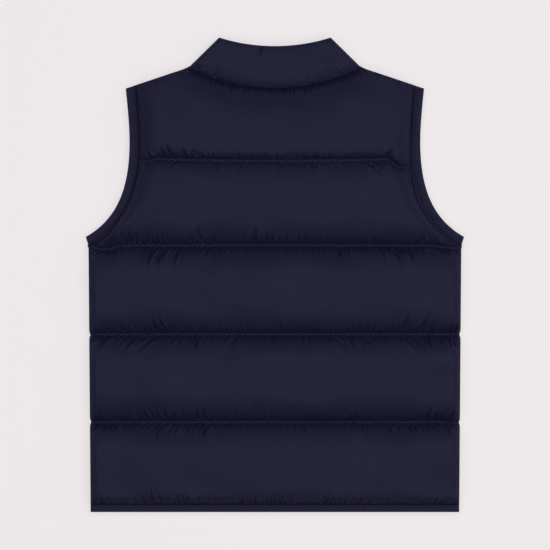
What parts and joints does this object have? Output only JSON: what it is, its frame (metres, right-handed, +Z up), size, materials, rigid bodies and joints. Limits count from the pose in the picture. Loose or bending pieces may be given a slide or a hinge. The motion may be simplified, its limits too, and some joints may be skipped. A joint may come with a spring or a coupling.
{
  "type": "quilted vest",
  "caption": "Sleeveless padded vest with a stand collar, horizontal quilting, bound armholes and a zip front, laid flat on its front with the back up.",
  "frame": {"origin": "on the surface the vest lies on, under the middle of its outline", "axes": "+X to the right of the back, +Y from the hem towards the collar, +Z up out of the surface, towards the back"},
  "size_m": [0.3938, 0.4934, 0.0315],
  "materials": {
    "shell_cloth": "closely woven navy nylon with a soft sheen",
    "binding_cloth": "navy binding, a little duller than the shell",
    "zip_plastic": "navy tape with moulded teeth",
    "slider_metal": "dark lacquer, half gloss"
  },
  "bodies": {
    "root": {"back": "shell_cloth", "front_left": "shell_cloth", "front_right": "shell_cloth", "collar": "shell_cloth", "armhole_binding_left": "binding_cloth", "armhole_binding_right": "binding_cloth", "hem_band": "binding_cloth", "zip": "zip_plastic", "zip_slider": "slider_metal"}
  },
  "joints": []
}
